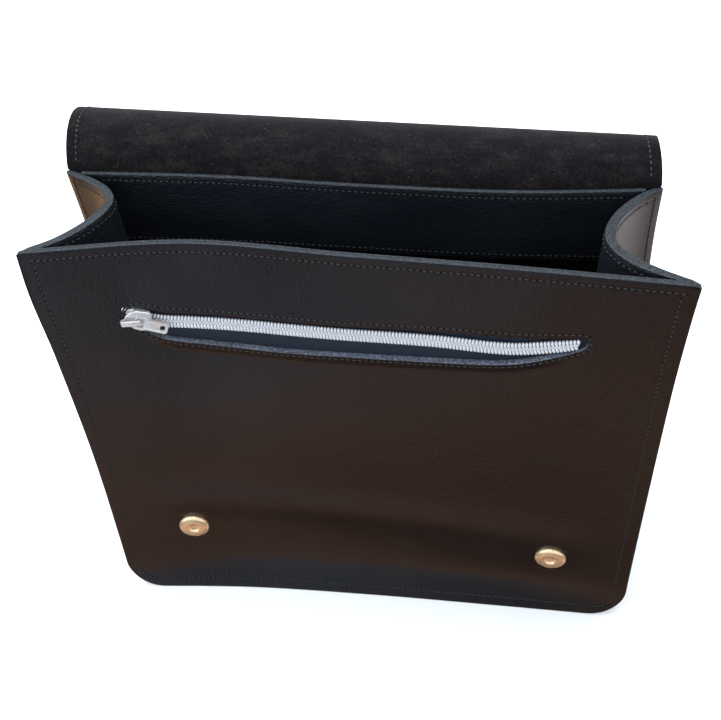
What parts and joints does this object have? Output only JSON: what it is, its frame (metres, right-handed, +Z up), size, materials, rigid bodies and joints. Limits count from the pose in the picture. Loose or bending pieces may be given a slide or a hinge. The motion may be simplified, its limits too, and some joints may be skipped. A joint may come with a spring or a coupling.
{
  "type": "messenger bag",
  "caption": "Leather messenger bag standing open, flap thrown back, folded-in sides, zipped front pocket and magnetic snaps.",
  "frame": {"origin": "on the floor, in the middle of the bag's overall length and depth", "axes": "+X along the bag from its zip slider's end to the other, +Y from its front to its back and the hanging flap, +Z up"},
  "size_m": [0.326, 0.1531, 0.2918],
  "materials": {
    "leather_outer": "smooth, fine grain, soft sheen",
    "leather_inner": "fine grain, dull sheen",
    "suede": "napped suede, matt",
    "zip_tape": "woven, matt",
    "zip_coil": "metallised coil",
    "zip_metal": "polished",
    "snap_metal": "pale gold plating, brushed"
  },
  "bodies": {
    "bag": {"front_panel": "leather_outer", "front_lining": "leather_inner", "gusset": "leather_outer", "gusset_lining": "leather_inner", "back_panel": "leather_outer", "flap_lining": "suede", "back_facing": "leather_inner", "zip_tape": "zip_tape", "zip_coil": "zip_coil", "zip_slider": "zip_metal", "snap_cap_left": "snap_metal", "snap_cap_right": "snap_metal", "snap_stud_left": "snap_metal", "snap_stud_right": "snap_metal"},
    "pull": {"zip_pull": "zip_metal"}
  },
  "joints": [
    {"name": "pull_swing", "type": "hinge", "parent": "bag", "child": "pull", "pos_m": [-0.1123, -0.06402, 0.22656], "axis": [-0.3653, -0.0904, -0.9265], "range_deg": [0, 135]}
  ]
}
